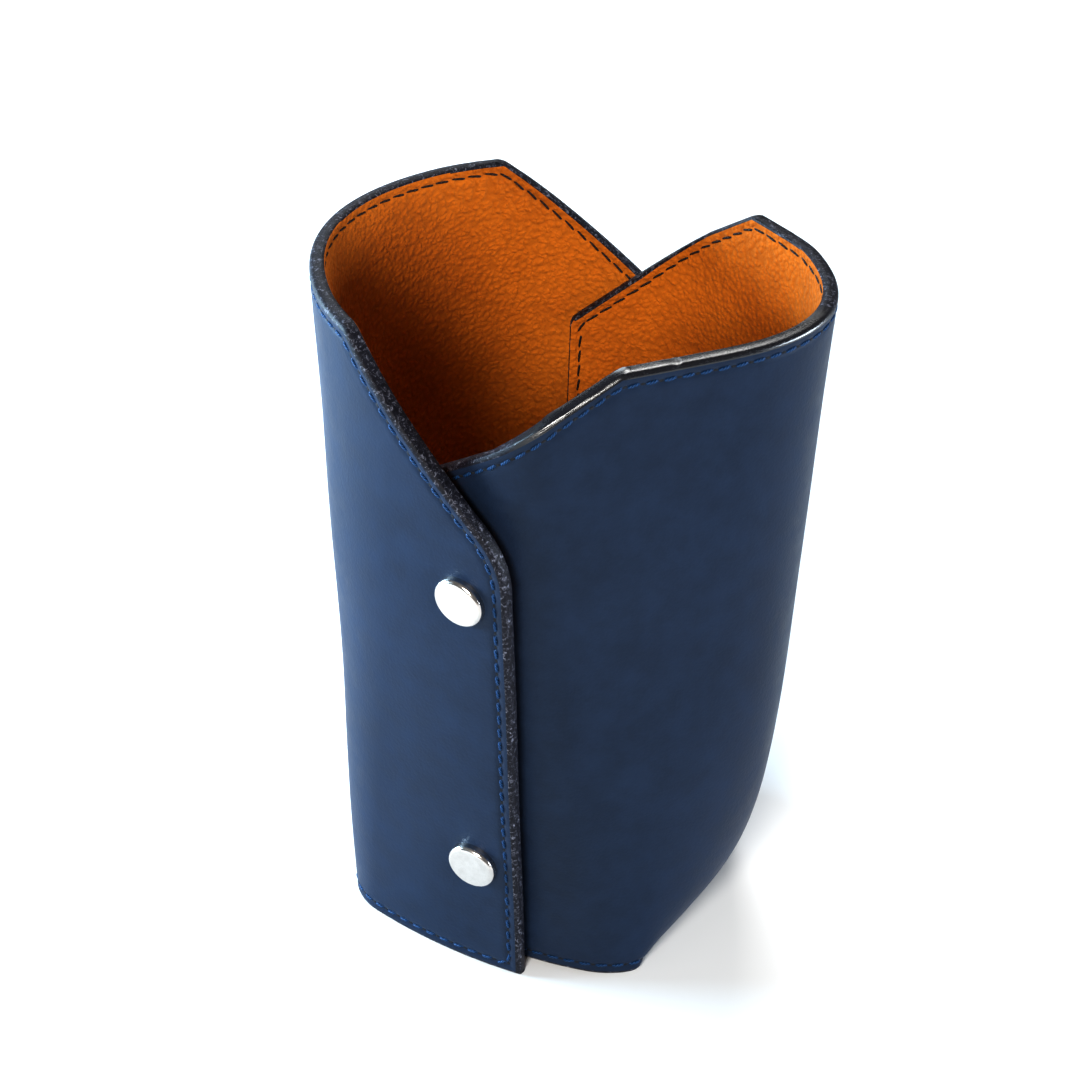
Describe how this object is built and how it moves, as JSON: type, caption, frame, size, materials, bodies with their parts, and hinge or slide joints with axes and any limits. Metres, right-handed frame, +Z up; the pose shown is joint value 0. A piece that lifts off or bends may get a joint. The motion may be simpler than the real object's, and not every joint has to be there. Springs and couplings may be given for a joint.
{
  "type": "pencil cup",
  "caption": "Upright lined leather pencil cup folded up from a flat base, with overlapping sloped flaps closed by snaps front and rear so that it opens flat.",
  "frame": {"origin": "middle of the bounding box at the height of the base's underside", "axes": "+X from the left wall to the right wall, +Y from the front seam to the rear seam, +Z upwards"},
  "size_m": [0.0864, 0.0794, 0.13],
  "materials": {
    "navy_leather": "smooth, low sheen",
    "tan_lining": "pebbled, matte",
    "nickel": "polished"
  },
  "bodies": {
    "base": {"base_leather": "navy_leather", "base_lining": "tan_lining"},
    "left_wall": {"left_wall_leather": "navy_leather", "left_wall_lining": "tan_lining"},
    "left_front_flap": {"left_front_flap_leather": "navy_leather", "left_front_flap_lining": "tan_lining", "front_upper_snap_cap": "nickel", "front_upper_snap_socket": "nickel", "front_lower_snap_cap": "nickel", "front_lower_snap_socket": "nickel"},
    "left_rear_flap": {"left_rear_flap_leather": "navy_leather", "left_rear_flap_lining": "tan_lining", "rear_upper_snap_cap": "nickel", "rear_upper_snap_socket": "nickel", "rear_lower_snap_cap": "nickel", "rear_lower_snap_socket": "nickel"},
    "right_wall": {"right_wall_leather": "navy_leather", "right_wall_lining": "tan_lining"},
    "right_front_flap": {"right_front_flap_leather": "navy_leather", "right_front_flap_lining": "tan_lining", "front_upper_snap_stud": "nickel", "front_upper_snap_post": "nickel", "front_lower_snap_stud": "nickel", "front_lower_snap_post": "nickel"},
    "right_rear_flap": {"right_rear_flap_leather": "navy_leather", "right_rear_flap_lining": "tan_lining", "rear_upper_snap_stud": "nickel", "rear_upper_snap_post": "nickel", "rear_lower_snap_stud": "nickel", "rear_lower_snap_post": "nickel"}
  },
  "joints": [
    {"name": "left_wall_fold", "type": "hinge", "parent": "base", "child": "left_wall", "pos_m": [-0.03125, 0, 0.00176], "axis": [0, -1, 0], "range_deg": [0, 75]},
    {"name": "right_wall_fold", "type": "hinge", "parent": "base", "child": "right_wall", "pos_m": [0.02429, 0, 0.00176], "axis": [0, 1, 0], "range_deg": [0, 41.25]},
    {"name": "left_front_flap_peel", "type": "hinge", "parent": "left_wall", "child": "left_front_flap", "pos_m": [-0.03301, -0.02095, 0], "axis": [0, 0.0246, -0.9997], "range_deg": [0, 60]},
    {"name": "left_rear_flap_peel", "type": "hinge", "parent": "left_wall", "child": "left_rear_flap", "pos_m": [-0.03301, 0.02105, 0], "axis": [0, 0.0246, 0.9997], "range_deg": [0, 60]},
    {"name": "right_front_flap_peel", "type": "hinge", "parent": "right_wall", "child": "right_front_flap", "pos_m": [0.02604, -0.02225, 0], "axis": [0.0395, 0.0513, 0.9979], "range_deg": [0, 26.25]},
    {"name": "right_rear_flap_peel", "type": "hinge", "parent": "right_wall", "child": "right_rear_flap", "pos_m": [0.02604, 0.02234, 0], "axis": [-0.0636, -0.01, -0.9979], "range_deg": [0, 26.25]}
  ],
  "couplings": [
    {"joint": "right_wall_fold", "follows": "left_wall_fold", "ratio": 0.55},
    {"joint": "left_front_flap_peel", "follows": "left_wall_fold", "ratio": 0.8},
    {"joint": "right_front_flap_peel", "follows": "left_wall_fold", "ratio": 0.35},
    {"joint": "left_rear_flap_peel", "follows": "left_wall_fold", "ratio": 0.8},
    {"joint": "right_rear_flap_peel", "follows": "left_wall_fold", "ratio": 0.35}
  ]
}
